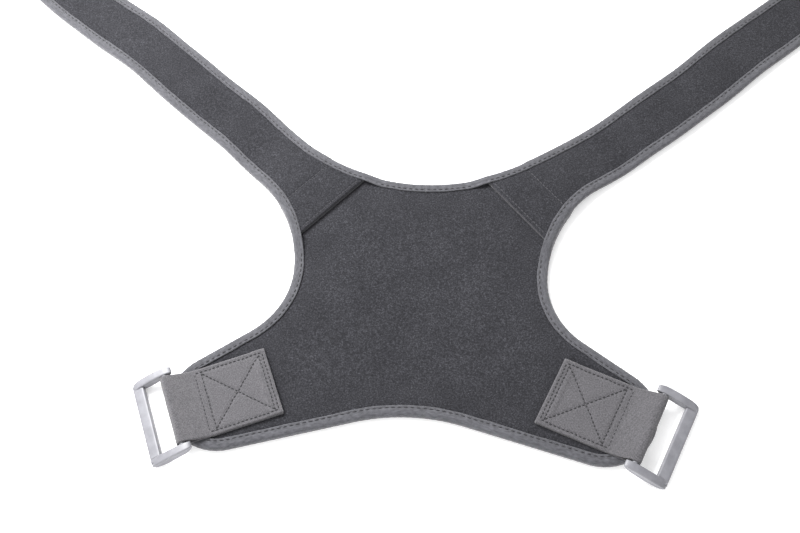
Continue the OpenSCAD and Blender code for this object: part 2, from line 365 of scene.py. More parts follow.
def from_tab(xy):
    """Points of the tab's frame, in plan."""
    c, s = math.cos(TAB_ANGLE), math.sin(TAB_ANGLE)
    return TAB_FOLD + np.stack([xy[..., 0] * c - xy[..., 1] * s, xy[..., 0] * s + xy[..., 1] * c], -1)


# ---- materials


def srgb(r, g, b):
    """A linear colour from display values of 0 to 255."""
    return tuple(((c / 255 + 0.055) / 1.055) ** 2.4 for c in (r, g, b)) + (1.0,)


def grey(value):
    return (value, value, value, 1)


class Nodes:
    """A material under construction."""

    def __init__(self, name, roughness, **sockets):
        self.material = bpy.data.materials.new(name)
        self.material.use_nodes = True
        self.tree = self.material.node_tree
        self.tree.nodes.clear()
        self.shader = self.add("ShaderNodeBsdfPrincipled")
        out = self.add("ShaderNodeOutputMaterial")
        self.link(self.shader.outputs[0], out.inputs["Surface"])
        self.shader.inputs["Roughness"].default_value = roughness
        for socket, value in sockets.items():
            self.shader.inputs[socket.replace("_", " ")].default_value = value
        self.coords = self.add("ShaderNodeTexCoord")

    def add(self, kind, **inputs):
        node = self.tree.nodes.new(kind)
        for socket, value in inputs.items():
            node.inputs[socket].default_value = value
        return node

    def link(self, a, b):
        self.tree.links.new(a, b)

    def noise(self, size, detail, stretch=(1, 1, 1), uv=False, roughness=0.6):
        """Noise whose grain is about size millimetres."""
        mapping = self.add("ShaderNodeMapping", Scale=stretch)
        self.link(self.coords.outputs["UV" if uv else "Object"], mapping.inputs["Vector"])
        node = self.add("ShaderNodeTexNoise", Scale=1000 / size, Detail=detail, Roughness=roughness)
        self.link(mapping.outputs["Vector"], node.inputs["Vector"])
        return node.outputs["Fac"]

    def math(self, operation, *values):
        node = self.add("ShaderNodeMath")
        node.operation = operation
        for socket, value in zip(node.inputs, values):
            if isinstance(value, (int, float)):
                socket.default_value = value
            else:
                self.link(value, socket)
        return node.outputs[0]

    def ribs(self, along, pitch):
        """0 to 1 across parallel ribs, pitch millimetres apart, on the axis along of the UV map."""
        split = self.add("ShaderNodeSeparateXYZ")
        self.link(self.coords.outputs["UV"], split.inputs[0])
        turns = self.math("MULTIPLY", split.outputs["XY".index(along)], 2 * math.pi * 1000 / pitch)
        return self.math("MULTIPLY_ADD", self.math("SINE", turns), 0.5, 0.5)

    def ramp(self, fac, *stops):
        """A colour ramp from (position, colour) stops."""
        node = self.add("ShaderNodeValToRGB")
        elements = node.color_ramp.elements
        while len(elements) < len(stops):
            elements.new(0.5)
        for element, (position, colour) in zip(elements, stops):
            element.position = position
            element.color = colour
        self.link(fac, node.inputs[0])
        return node.outputs[0]

    def shaded(self, colour, *shades):
        """The colour multiplied by each of the shades."""
        for shade in shades:
            node = self.add("ShaderNodeMix")
            node.data_type = "RGBA"
            node.blend_type = "MULTIPLY"
            factor, first, second, result = node.inputs[0], node.inputs[6], node.inputs[7], node.outputs[2]
            factor.default_value = 1.0
            self.link(colour, first)
            self.link(shade, second)
            colour = result
        return colour

    def raise_by(self, height, distance, strength=1.0):
        """Adds a bump from a height of 0 to 1, distance millimetres deep, to those before it."""
        node = self.add("ShaderNodeBump", Strength=strength, Distance=distance * MM)
        self.link(height, node.inputs["Height"])
        before = self.shader.inputs["Normal"]
        if before.is_linked:
            self.link(before.links[0].from_socket, node.inputs["Normal"])
        self.link(node.outputs[0], before)

    def colour(self, value):
        self.link(value, self.shader.inputs["Base Color"])

    def rough(self, value, low, high):
        """Roughness from low to high as the value goes from 0 to 1."""
        node = self.add("ShaderNodeMapRange")
        node.inputs["To Min"].default_value = low
        node.inputs["To Max"].default_value = high
        self.link(value, node.inputs["Value"])
        self.link(node.outputs[0], self.shader.inputs["Roughness"])


def loop_fabric():
    """Brushed loop pile: a felt of fine fibres with soft cloudy patches where the pile lies differently."""
    m = Nodes("loop_fabric", 0.95, Sheen_Weight=0.18, Sheen_Roughness=0.5, Specular_IOR_Level=0.1)
    m.shader.inputs["Sheen Tint"].default_value = (0.8, 0.8, 0.85, 1)
    pile = m.noise(1.1, 9, roughness=0.9)
    fibres = m.noise(0.45, 3, stretch=(1, 0.35, 1))
    patches = m.noise(26, 3)
    nap = m.noise(5, 4)
    base = m.ramp(pile, (0.36, srgb(10, 10, 12)), (0.5, srgb(31, 31, 34)), (0.66, srgb(75, 75, 80)))
    cloudy = m.ramp(patches, (0.3, (0.82, 0.82, 0.83, 1)), (0.7, grey(1.12)))
    brushed = m.ramp(nap, (0.25, grey(0.9)), (0.75, grey(1.08)))
    m.colour(m.shaded(base, cloudy, brushed))
    m.raise_by(nap, 0.5, 0.5)
    m.raise_by(pile, 0.35, 0.8)
    m.raise_by(fibres, 0.2, 0.7)
    return m.material


def lining_knit():
    """A smooth fine knit, in wales a millimetre apart."""
    m = Nodes("lining_knit", 0.85, Sheen_Weight=0.2, Specular_IOR_Level=0.2)
    wales = m.ribs("X", 1.1)
    courses = m.ribs("Y", 0.9)
    grain = m.noise(3, 5)
    loops = m.math("MULTIPLY", wales, courses)
    base = m.ramp(loops, (0.0, srgb(22, 22, 24)), (0.8, srgb(46, 46, 49)))
    m.colour(m.shaded(base, m.ramp(grain, (0.3, (0.85, 0.85, 0.86, 1)), (0.7, grey(1.1)))))
    m.raise_by(loops, 0.25, 0.8)
    m.raise_by(grain, 0.3, 0.3)
    return m.material


def binding_tape():
    """Woven tape: fine ribs across it, with patches that are a little flattened and worn."""
    m = Nodes("binding_tape", 0.8, Sheen_Weight=0.25, Sheen_Roughness=0.5, Specular_IOR_Level=0.25)
    weft = m.ribs("X", 0.75)
    warp = m.ribs("Y", 0.6)
    weave = m.math("MULTIPLY", weft, warp)
    slub = m.noise(1.4, 5, stretch=(0.4, 1, 1), uv=True)
    worn = m.noise(18, 4)
    base = m.ramp(slub, (0.25, srgb(44, 44, 48)), (0.75, srgb(88, 88, 93)))
    shade = m.ramp(weave, (0.0, (0.75, 0.75, 0.76, 1)), (0.7, grey(1.1)))
    faded = m.ramp(worn, (0.35, grey(0.92)), (0.75, grey(1.12)))
    m.colour(m.shaded(base, shade, faded))
    m.rough(worn, 0.88, 0.7)
    m.raise_by(slub, 0.2, 0.5)
    m.raise_by(weave, 0.22, 0.9)
    return m.material


def webbing_cloth():
    """Heavy webbing in a basket weave, its yarns 1.3 mm apart along it and 1 mm across it."""
    m = Nodes("webbing", 0.8, Sheen_Weight=0.25, Sheen_Roughness=0.5, Specular_IOR_Level=0.25)
    warp = m.ribs("Y", 1.3)
    weft = m.ribs("X", 1.0)
    over = m.math("ABSOLUTE", m.math("SUBTRACT", warp, weft))
    fuzz = m.noise(1.0, 7, roughness=0.8)
    worn = m.noise(12, 4)
    base = m.ramp(fuzz, (0.34, srgb(48, 47, 50)), (0.68, srgb(102, 100, 104)))
    shade = m.ramp(over, (0.05, (0.68, 0.68, 0.69, 1)), (0.6, grey(1.1)))
    faded = m.ramp(worn, (0.3, grey(0.92)), (0.75, grey(1.1)))
    m.colour(m.shaded(base, shade, faded))
    m.raise_by(fuzz, 0.15, 0.6)
    m.raise_by(over, 0.4, 0.9)
    return m.material


def thread(name, dark, light):
    """Twisted thread: plies cross it every 0.8 mm."""
    m = Nodes(name, 0.7, Specular_IOR_Level=0.3, Sheen_Weight=0.2)
    plies = m.ribs("X", 0.8)
    m.colour(m.ramp(plies, (0.1, dark), (0.8, light)))
    m.raise_by(plies, 0.12, 0.8)
    return m.material


def ring_plastic():
    """Satin moulded plastic with a fine grain, faint flow marks, pale worn edges and painted shade in its
    hollow corners.
    """
    m = Nodes("ring_plastic", 0.4, Specular_IOR_Level=0.5)
    grain = m.noise(0.5, 3)
    flow = m.noise(9, 5, stretch=(1, 1, 0.4))
    # Pointiness: high on the convex edges, which get lighter as wear, and low in the concave corners, which
    # get painted shade.
    wear_and_shade_mask = m.add("ShaderNodeNewGeometry").outputs["Pointiness"]
    base = m.ramp(flow, (0.3, srgb(100, 100, 105)), (0.7, srgb(120, 120, 125)))
    # Painted shade darkens the concave corners, and wear lightens the convex edges.
    edges = m.ramp(
        wear_and_shade_mask, (0.44, grey(0.6)), (0.5, grey(1)), (0.56, grey(1.25))
    )
    m.colour(m.shaded(base, edges))
    m.rough(grain, 0.34, 0.5)
    m.raise_by(flow, 0.12, 0.25)
    m.raise_by(grain, 0.06, 0.5)
    return m.material


def hook_plastic():
    """Stiff black nylon."""
    m = Nodes("hook_tape", 0.45, Specular_IOR_Level=0.5)
    mottle = m.noise(2, 4)
    m.colour(m.ramp(mottle, (0.3, srgb(24, 24, 26)), (0.7, srgb(42, 42, 44))))
    m.rough(mottle, 0.38, 0.55)
    m.raise_by(m.noise(0.5, 3), 0.1, 0.4)
    return m.material


def cut_edge():
    """The raw edge of the strap's cloth on the panel."""
    m = Nodes("cut_edge", 0.95, Sheen_Weight=0.1)
    crumbs = m.noise(0.7, 5)
    m.colour(m.ramp(crumbs, (0.3, srgb(24, 24, 27)), (0.7, srgb(60, 60, 64))))
    m.raise_by(crumbs, 0.4, 0.8)
    return m.material


LOOP = loop_fabric()
LINING = lining_knit()
TAPE = binding_tape()
WEBBING = webbing_cloth()
# The binding thread is darker than its tape, so that its stitches also carry painted shade for the dimples
# they pull in.
THREAD_WITH_DIMPLE_SHADE = thread("thread", srgb(16, 16, 18), srgb(40, 40, 44))
LAP_THREAD = thread("lap_thread", srgb(30, 30, 33), srgb(64, 64, 69))
TAB_THREAD = thread("tab_thread", srgb(16, 16, 18), srgb(44, 44, 48))
PLASTIC = ring_plastic()
HOOKS = hook_plastic()
RAW = cut_edge()


# ---- binding tape


def tape_profile(low, high, width):
    """The folded strip's cross-section: its outer face, then its inner one.

    Each point is a distance in from the edge and a height.
    """
    mid, half = (high + low) / 2, (high - low) / 2
    round_in = 2.7      # how far in the rounded fold reaches
    ply = 0.7
    groove = width - (TAPE_W - ROW_IN)
    outer_top = [(width, half - 0.75), (width + 0.03, half - 0.1), (width - 0.35, half + 0.1),
                 (groove + 0.6, half + 0.04), (groove, half - 0.14), (groove - 0.6, half)]
    turn = np.radians(np.linspace(84, -84, 11))
    outer = [(round_in * (1 - math.cos(a)), half * math.copysign(abs(math.sin(a)) ** 0.75, a)) for a in turn]
    inner = [(ply + (round_in - ply) * (1 - math.cos(a)), (half - ply) * math.sin(a)) for a in turn[::-2]]
    loop = outer_top + outer + [(k, -z) for k, z in outer_top[::-1]] + inner
    return np.array([(k, mid + z) for k, z in loop])


def tape_run(path, high_of, low_of, seed):
    """Tape folded over an edge. It puckers at each stitch, and its width wanders a little."""
    pts, at = resample(path, PITCH / 4)
    t = tangents(pts)
    normal = np.stack([t[:, 1], -t[:, 0]], 1)
    s, _ = to_strap(pts)
    high, low = high_of(s), low_of(s)
    wander = waves(at, seed, 43, 19, 71) * 0.22
    pucker = 0.5 - 0.5 * np.cos(2 * math.pi * at / PITCH)
    rings = []
    for i in range(len(pts)):
        profile = tape_profile(low[i], high[i], TAPE_W + wander[i])
        near_row = bump(profile[:, 0], ROW_IN, 1.3) * np.sign(profile[:, 1] - (high[i] + low[i]) / 2)
        profile[:, 1] += 0.13 * (pucker[i] - 0.6) * near_row
        profile[:, 0] -= 0.12 * pucker[i] * bump(profile[:, 0], 0, 2)
        ring = np.empty((len(profile), 3))
        ring[:, :2] = pts[i] + np.multiply.outer(profile[:, 0], normal[i])
        ring[:, 2] = profile[:, 1]
        rings.append(ring)
    points = np.array(rings)
    middle = points[len(points) // 2]
    lengths = np.linalg.norm(np.diff(np.vstack([middle, middle[:1]]), axis=0), axis=1)
    return grid(points, at, np.concatenate([[0], np.cumsum(lengths)]))


# ---- stitches


def stitches(path, pitch, seed, radius=THREAD_R, normal=1.0):
    """A row of stitches along a 3-D path, on the cloth's front or, with a normal of -1, on its back.

    Each stitch is a short bowed tube whose ends sink into the cloth.
    """
    pts, at = resample(path, 0.5)
    rng = np.random.default_rng(seed)
    count = int(at[-1] / pitch)
    starts = (at[-1] - count * pitch) / 2 + pitch * np.arange(count)
    length = pitch * STITCH_FILL * rng.uniform(0.94, 1.05, count)
    mids = starts + pitch / 2

    def locate(where):
        return np.stack([np.interp(where, at, pts[:, i]) for i in range(3)], 1)

    a, b = locate(mids - length / 2), locate(mids + length / 2)
    along = (b - a) / np.linalg.norm(b - a, axis=1)[:, None]
    up = np.tile(UP * normal, (count, 1))
    side = np.cross(along, up)
    side += 0.05 * rng.normal(size=(count, 1)) * along
    share = np.array([0, 0.12, 0.32, 0.5, 0.68, 0.88, 1])
    height = np.array([-1.3, -0.1, 0.62, 0.8, 0.62, -0.1, -1.3]) * radius
    girth = np.array([0.55, 0.85, 1, 1, 1, 0.85, 0.55]) * radius
    turn = np.radians(np.arange(0, 360, 60))
    centre = a[:, None] + (b - a)[:, None] * share[None, :, None] + up[:, None] * height[None, :, None]
    ring = (
        np.cos(turn)[None, None, :, None] * side[:, None, None]
        + 0.85 * np.sin(turn)[None, None, :, None] * up[:, None, None]
    )
    points = centre[:, :, None] + ring * girth[None, :, None, None]
    verts, faces, uvs = repeated(points, share * pitch, np.arange(7) * radius)
    if normal < 0:
        faces = [f[::-1] for f in faces]
    return verts, faces, uvs


def edge_rows(path_of, high_of, low_of, seed):
    """The binding's stitches, on the front and on the back."""
    path, _ = resample(path_of(ROW_IN), 1.0)
    s, _ = to_strap(path)
    sink = 0.15
    front = np.column_stack([path, high_of(s) - sink])
    back = np.column_stack([path, low_of(s) + sink])
    return merge(stitches(front, PITCH, seed), stitches(back, PITCH, seed + 1, normal=-1.0))


# ---- cloth of the straps


def half_widths(s, k):
    """How far the cloth reaches across the strap on its upper and lower sides, drawn in by k."""
    side_s = (SIDE_C - STRAP_FOOT) @ ALONG
    over = np.minimum(s, 0)
    under = np.minimum(s - side_s, 0)
    upper = NECK_R + STRAP_W / 2 - np.sqrt((NECK_R + k) ** 2 - over**2)
    lower = SIDE_R + STRAP_W / 2 - np.sqrt((SIDE_R + k) ** 2 - under**2)
    corner = np.clip(s - (TIP_S - TIP_R), 0, TIP_R - k - 1e-6)
    tip = TIP_R - k - np.sqrt((TIP_R - k) ** 2 - corner**2)
    return upper - tip, lower - tip


def cloth_top(s, inside):
    """The cloth's height before it swells: under the tape at its sides, and even across the lap."""
    tape = top_of(s)
    missing = np.where(s < FOLD_FROM, LAP_TOP - tape, 0)
    return tape + missing * smooth(inside, -1, 4) - TAPE_T


def swell(inside):
    """How the cloth rises from 0 to 1 with the distance inside its tape."""
    return smooth(inside, -1.5, 9)


def pad(s):
    """The strap's padded cloth at the distances s, crowned between its tapes and nipped by its stitches."""
    crown = CROWN - 0.25 * smooth(s, END_FOLD_S, END_FOLD_S + 40)[:, None]
    upper, lower = half_widths(s, STRAP_INSET)
    columns = np.linspace(-1, 1, 27)
    low = (under_of(s) + TAPE_T)[:, None]
    cut = s < FOLD_S
    low = np.where(cut[:, None] & (low < FACE_TOP), FACE_TOP - 0.05, low)
    t = (upper - lower)[:, None] / 2 + (upper + lower)[:, None] / 2 * columns
    inside = np.minimum(upper[:, None] - t, t + lower[:, None]) - (TAPE_W - STRAP_INSET)
    nip = ROW_NIP * (bump(s, LAP_ROW, 0.9) + bump(s, PANEL_END, 1.1)) + 0.35 * bump(s, LAP_S, 1.0)
    nip = nip[:, None]
    texture = 0.12 * waves(s, 31, 13, 7.7)[:, None] * waves(t, 32, 11, 17)
    front = cloth_top(s[:, None], inside) + crown * swell(inside) * (1 - np.clip(nip, 0, 1)) - nip
    front = front + texture * smooth(inside, 0, 4)
    back = low - 0.35 * smooth(inside, -1.5, 6) * (s > FOLD_S)[:, None] + 0 * t
    x = from_strap(np.broadcast_to(s[:, None], t.shape), t)
    points = np.concatenate([np.dstack([x, front]), np.dstack([x, back])[:, ::-1]], 1)
    width = np.concatenate([t[len(s) // 2], t[len(s) // 2][::-1], t[len(s) // 2][:1]])
    return grid(points, s - s[0], np.abs(width))


def strap_piece(side):
    """The strap from its sewn end on the panel to where its hooked end begins."""
    plain = PANEL_END + 8   # from here on the cloth has no fine shape
    s = np.concatenate([np.arange(LAP_S, plain, 0.8), np.arange(plain, SPLIT_S, 2.0), [SPLIT_S]])
    replaced = [f"{side}_strap_root", f"{side}_strap"]
    obj = place("strap_cloth", pad(s), side, LOOP, replaced, True)
    bend(obj)


def end_piece(side):
    """The hooked end of the strap, as far as its rounded tip."""
    tip, last = TIP_S - 18, TIP_S - STRAP_INSET - 0.01
    s = np.concatenate([np.arange(SPLIT_S, tip, 2.0), np.arange(tip, last, 0.9), [last]])
    obj = place("end_cloth", pad(s), side, LOOP, [f"{side}_strap_end"], True)
    bend(obj)


def bend(obj):
    """Bakes the piece's transform into its mesh."""
    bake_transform(obj)


# ---- build: straps and bindings


def build_edges(side):
    """The tapes along the strap, and the stitches in them."""
    runs = [
        ("upper", upper_edge, ["neck_binding", f"{side}_strap_upper_binding"], "fold", 11),
        ("lower", lower_edge, [f"{side}_side_binding", f"{side}_strap_lower_binding"], "fold", 12),
        ("end", end_edge, [f"{side}_end_binding"], "end", 13),
    ]
    for name, edge, replaced, which, seed in runs:
        path = partial(edge, SPLIT_S)
        part = tape_run(path(0.0), top_of, under_of, seed)
        tape = place(f"{name}_tape", part, side, TAPE, replaced, True)
        bend(tape)
        part = edge_rows(path, top_of, under_of, seed)
        rows = place(f"{name}_stitches", part, side, THREAD_WITH_DIMPLE_SHADE, [], True)
        bend(rows)


def lap_rows(side):
    """The two rows that sew the strap to the panel."""
    rows = []
    margin = 0.6    # between the rows' ends and the tape
    for at in (LAP_ROW, float(PANEL_END)):
        upper, lower = half_widths(np.array([at]), TAPE_W + margin)
        t = np.linspace(-lower[0], upper[0], 60)
        s = np.full(len(t), at)
        inside = np.minimum(upper[0] - t, t + lower[0]) + margin
        z = cloth_top(s, inside) + (CROWN * swell(inside) * (1 - ROW_NIP) - ROW_NIP)
        rows.append(stitches(np.column_stack([from_strap(s, t), z]), LAP_PITCH, int(at) + 90, LAP_THREAD_R))
    obj = place("lap_stitches", merge(*rows), side, LAP_THREAD, [])
    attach(obj, "panel")


def lap_edge(side):
    """The strap's raw edge on the panel, a slightly ragged bead over the thickness of its cloth."""
    upper, lower = half_widths(np.array([float(LAP_S)]), TAPE_W - 0.8)
    t = np.linspace(-lower[0], upper[0], 90)
    ragged = waves(t, 5, 3.1, 1.7, 7) * 0.12
    turn = np.radians(np.arange(0, 360, 45))
    middle = np.column_stack([from_strap(LAP_S + 0.1 + ragged, t), np.full(len(t), FACE_TOP + 1.4)])
    half_u, half_z = 0.35, 1.15
    offset = half_u * np.cos(turn)[:, None] * np.append(ALONG, 0) + half_z * np.sin(turn)[:, None] * UP
    points = middle[:, None] + offset[None] * (1 + 0.15 * waves(t, 6, 2.3, 4.1))[:, None, None]
    bead = place("lap_edge", grid(points, t - t[0], np.arange(9) * 0.5), side, RAW, [])
    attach(bead, "panel")


def build_bottom():
    """The tape round the arch, and the stitches in it."""
    tape = make("bottom_tape", *tape_run(bottom_edge(), panel_top, panel_under, 21), TAPE)
    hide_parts("bottom_binding")
    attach(tape, "panel")
    rows = make("bottom_stitches", *edge_rows(bottom_edge, panel_top, panel_under, 22), THREAD_WITH_DIMPLE_SHADE)
    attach(rows, "panel")


for side in SIDES:
    strap_piece(side)
    end_piece(side)
    build_edges(side)
    lap_rows(side)
    lap_edge(side)
build_bottom()


# ---- panel


def filled(boundary, step):
    """A triangle mesh that fills a closed outline: its points and its triangles."""
    edge, _ = resample(np.vstack([boundary, boundary[:1]]), step)
    edge = edge[:-1]
    low, high = edge.min(0), edge.max(0)
    rows = np.arange(low[1], high[1], step * math.sqrt(3) / 2)
    row = np.arange(low[0], high[0], step)
    inner = np.concatenate(
        [np.column_stack([row + (i % 2) * step / 2, np.full(len(row), y)]) for i, y in enumerate(rows)]
    )
    keep = inside_outline(inner, edge) & (gap_to(inner, edge) > step * 0.6)
    points = np.concatenate([edge, inner[keep]])
    ring = [(i, (i + 1) % len(edge)) for i in range(len(edge))]
    verts, _, faces, _, _, _ = geometry.delaunay_2d_cdt([Vector(p) for p in points], ring, [], 1, 1e-5)
    return np.array([tuple(v) for v in verts]), [tuple(f) for f in faces]


def inside_outline(points, edge):
    """Whether each point is inside a closed outline: a ray to the right crosses an odd number of edges."""
    a, b = edge, np.roll(edge, -1, 0)
    x, y = points[:, :1], points[:, 1:]
    spans = (a[:, 1] > y) != (b[:, 1] > y)
    with np.errstate(divide="ignore", invalid="ignore"):
        cross = (b[:, 0] - a[:, 0]) * (y - a[:, 1]) / (b[:, 1] - a[:, 1]) + a[:, 0]
    return (spans & (x < cross)).sum(1) % 2 == 1


def gap_to(points, edge):
    """Distance of each point from the nearest point of an outline."""
    out = np.empty(len(points))
    block = 2000
    for i in range(0, len(points), block):
        d = points[i : i + block, None] - edge[None]
        out[i : i + block] = np.sqrt((d**2).sum(2)).min(1)
    return out


def slab(flat, faces, top, under):
    """A closed solid between two height fields over the same triangles."""
    n = len(flat)
    verts = np.concatenate([np.column_stack([flat, top]), np.column_stack([flat, under])])
    up = []
    for f in faces:
        (ax, ay), (bx, by), (cx, cy) = (flat[i] for i in f[:3])
        turn = (bx - ax) * (cy - ay) - (by - ay) * (cx - ax)
        up.append(f if turn > 0 else f[::-1])
    edges = [e for f in up for e in zip(f, f[1:] + f[:1])]
    known = set(edges)
    walls = [(b, a, a + n, b + n) for a, b in edges if (b, a) not in known]
    all_faces = up + [tuple(i + n for i in f[::-1]) for f in up] + walls
    uvs = np.array([verts[i, :2] for f in all_faces for i in f])
    return verts, all_faces, uvs


def covered(flat):
    """1 where a strap's lap or a tab lies on the panel, fading to 0 around it."""
    out = np.zeros(len(flat))
    for sign in SIDES.values():
        p = flat * [sign, 1]
        s, _ = to_strap(p)
        out = np.maximum(out, smooth(s, LAP_S - 7, LAP_S - 1))
        d = p - TAB_FOLD
        c, q = math.cos(TAB_ANGLE), math.sin(TAB_ANGLE)
        x, y = d @ [c, q], d @ [-q, c]
        beside = np.maximum(-TAB_LEN - x, np.abs(y) - WEB_W / 2)
        out = np.maximum(out, 1 - smooth(beside, 0.5, 6))
    return out


def puffed(obj, pinned, frames=20):
    """Where cloth simulation moves the mesh's points when it blows it up, in metres."""
    group = obj.vertex_groups.new(name="pin")
    group.add([int(i) for i in np.flatnonzero(pinned)], 1.0, "REPLACE")
    cloth = obj.modifiers.new("puff", "CLOTH")
    cloth.settings.use_pressure = True
    cloth.settings.uniform_pressure_force = 4
    cloth.settings.vertex_group_mass = "pin"
    cloth.settings.effector_weights.gravity = 0
    cloth.settings.tension_stiffness = 40
    cloth.settings.compression_stiffness = 40
    cloth.settings.bending_stiffness = 5
    cloth.point_cache.frame_end = frames
    for f in range(1, frames + 1):
        bpy.context.scene.frame_set(f)
    grown = obj.evaluated_get(bpy.context.evaluated_depsgraph_get())
    co = np.array([v.co for v in grown.data.vertices])
    obj.modifiers.remove(cloth)
    obj.vertex_groups.remove(group)
    bpy.context.scene.frame_set(1)
    return co


def panel_front(flat, faces, depth):
    """The panel's padded front: depth is how far inside the outline each point is."""
    cover = covered(flat)
    n = len(flat)
    base = FACE_TOP - 0.1 - 0.25 * bump(depth, TAPE_W + 0.2, 1.0)
    verts, all_faces, uvs = slab(flat, faces, base, np.full(n, LINING_T))
    front = make("panel_cloth", verts, all_faces, uvs, LOOP)
    rest = np.array([v.co for v in front.data.vertices])
    pinned = np.concatenate([depth < TAPE_W + 0.3, np.ones(n, bool)])
    rise = np.clip((puffed(front, pinned) - rest)[:n, 2] / MM, 0, None)
    rise = PUFF_CAP * (1 - np.exp(-rise / PUFF_CAP))
    rise = rise * (1 - cover) * smooth(depth, TAPE_W - 0.6, TAPE_W + 1.2)
    dimples = 0.10 * waves(flat[:, 0], 41, 17, 29, 9) * waves(flat[:, 1], 42, 23, 14, 8)
    z = base + rise + dimples * smooth(depth, 7, 14) * (1 - cover)
    co = np.concatenate([np.column_stack([flat, z]), verts[n:]]) * MM
    front.data.vertices.foreach_set("co", co.astype(np.float32).ravel())
    front.data.update()
    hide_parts("panel_face", "panel_foam")
    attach(front, "panel")


def panel_back(flat, faces, depth):
    """The lining: it rises a little to go under the tape, and it isn't quite flat."""
    sunk = 0.55 * (1 - smooth(depth, TAPE_W, TAPE_W + 4))
    ripple = 0.12 * (1 + waves(flat[:, 0], 51, 31, 19) * waves(flat[:, 1], 52, 27, 41))
    under = 0.02 + sunk + ripple * smooth(depth, 8, 16)
    verts, all_faces, uvs = slab(flat, faces, np.full(len(flat), LINING_T - 0.02), under)
    back = make("panel_lining_cloth", verts, all_faces, uvs, LINING)
    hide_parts("panel_lining")
    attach(back, "panel")


def build_panel():
    flat, faces = filled(panel_edge(PANEL_INSET), PANEL_STEP)
    edge, _ = resample(panel_edge(0.0), 1.0)
    depth = gap_to(flat, edge)
    panel_front(flat, faces, depth)
    panel_back(flat, faces, depth)


build_panel()


# ---- webbing tabs


def web_path():
    """The band's middle line in side view: out along the front, round the ring's bar and back under it."""
    r = FOLD_R - WEB_T / 2
    top_z, low_z = FACE_TOP + 1.5 * WEB_T, FACE_TOP + 0.5 * WEB_T
    row = -LOOP_LEN
    front = [(-TAB_LEN, top_z), (row - 2, top_z), (row + 1, top_z + 0.15), (row + 8, top_z + 2.3)]
    bar = [(PIN_X + r * math.cos(a), PIN_Z + r * math.sin(a)) for a in np.radians(np.linspace(100, -90, 20))]
    back = [(row + 5, PIN_Z - r), (row + 1, low_z + 0.5), (row - 3, low_z), (-TAB_LEN, low_z)]
    path = np.array(front + bar + back)
    fine, _ = resample(path, 0.8)
    for _ in range(3):
        fine[1:-1] = (fine[:-2] + 2 * fine[1:-1] + fine[2:]) / 4
    return resample(fine, 0.8)


def tab_lines():
    """The stitched lines on a tab, as pairs of ends: a box with two rows at either end, and a cross."""
    a, b, h = -TAB_LEN + 2.4, -LOOP_LEN - 1.0, WEB_W / 2 - 2.8
    c, d = a + 2.3, b - 4.4
    return [
        ((a, -h), (a, h)), ((c, -h), (c, h)),
        ((b, -h), (b, h)), ((d, -h), (d, h)),
        ((a, h), (b, h)), ((a, -h), (b, -h)),
        ((c, -h + 1), (d, h - 1)), ((c, h - 1), (d, 1 - h)),
    ]


def dents(x, y):
    """How far the webbing is pulled down by its stitches."""
    out = np.zeros(np.broadcast(x, y).shape)
    for (ax, ay), (bx, by) in tab_lines():
        ex, ey = bx - ax, by - ay
        u = np.clip(((x - ax) * ex + (y - ay) * ey) / (ex * ex + ey * ey), 0, 1)
        far = np.hypot(x - ax - u * ex, y - ay - u * ey)
        out = np.maximum(out, np.exp(-((far / 0.9) ** 2)))
    return out


def hem_at(x):
    """1 over the turned hem at the tab's sewn end, and 0 beyond it."""
    return smooth(-x, TAB_LEN - HEM_LEN, TAB_LEN - HEM_LEN + 1.5)


def build_webbing(side):
    """The webbing, from its sewn end round the ring's bar and back."""
    path, at = web_path()
    t = tangents(path)
    normal = np.stack([-t[:, 1], t[:, 0]], 1)
    columns = np.linspace(-1, 1, 61)
    y = columns * WEB_W / 2
    selvedge = 1 - 0.45 * np.clip((np.abs(columns) - 0.93) / 0.07, 0, 1) ** 2
    front = at < at[-1] / 2
    sewn = smooth(-path[:, 0], LOOP_LEN + 0.3, LOOP_LEN + 3)
    hem = HEM_RISE * hem_at(path[:, 0]) * front
    drape = 0.18 * np.multiply.outer(waves(at, 61, 23, 15), waves(y, 62, 29, 47))
    pull = dents(path[:, 0][:, None], y[None]) * (sewn * front)[:, None]
    soften = 0.35 * (1 - smooth(path[:, 0] + TAB_LEN, 0, 1.6)) * front

    def surface(sign):
        """The front of the webbing, or with a sign of -1 its back."""
        off = sign * WEB_T / 2 * selvedge[None] + np.zeros((len(path), 1))
        if sign > 0:
            off = off + hem[:, None] - 0.42 * pull + drape * (1 - sewn)[:, None] * 0.6 - soften[:, None]
        x = path[:, 0][:, None] + normal[:, 0][:, None] * off
        z = path[:, 1][:, None] + normal[:, 1][:, None] * off
        xy = from_tab(np.dstack([x, np.broadcast_to(y, x.shape)]))
        return np.dstack([xy, z])

    points = np.concatenate([surface(1), surface(-1)[:, ::-1]], 1)
    part = grid(points, at, np.concatenate([y, y[::-1], y[:1]]) + WEB_W)
    obj = place("webbing", part, side, WEBBING, [f"{side}_tab", f"{side}_tab_loop"])
    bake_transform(obj)


def tab_rows(side):
    """The stitches that sew the tab to the lobe, in lines that waver a little."""
    rows = []
    top = FACE_TOP + 2 * WEB_T - 0.28
    n = 40
    for i, (a, b) in enumerate(tab_lines()):
        line = np.linspace(a, b, n)
        z = top + HEM_RISE * hem_at(line[:, 0])
        wobble = 0.3 * waves(np.arange(float(n)), 70 + i, 17, 9, 5)
        line = line + np.column_stack([wobble, wobble])
        rows.append(stitches(np.column_stack([from_tab(line), z]), TAB_PITCH, 80 + i))
    obj = place("tab_stitches", merge(*rows), side, TAB_THREAD, [])
    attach(obj, "panel")


# ---- rings


def squared(x, power):
    """A cosine or sine bent towards those of a square. The smaller the power, the sharper the corners."""
    return np.sign(x) * np.abs(x) ** power


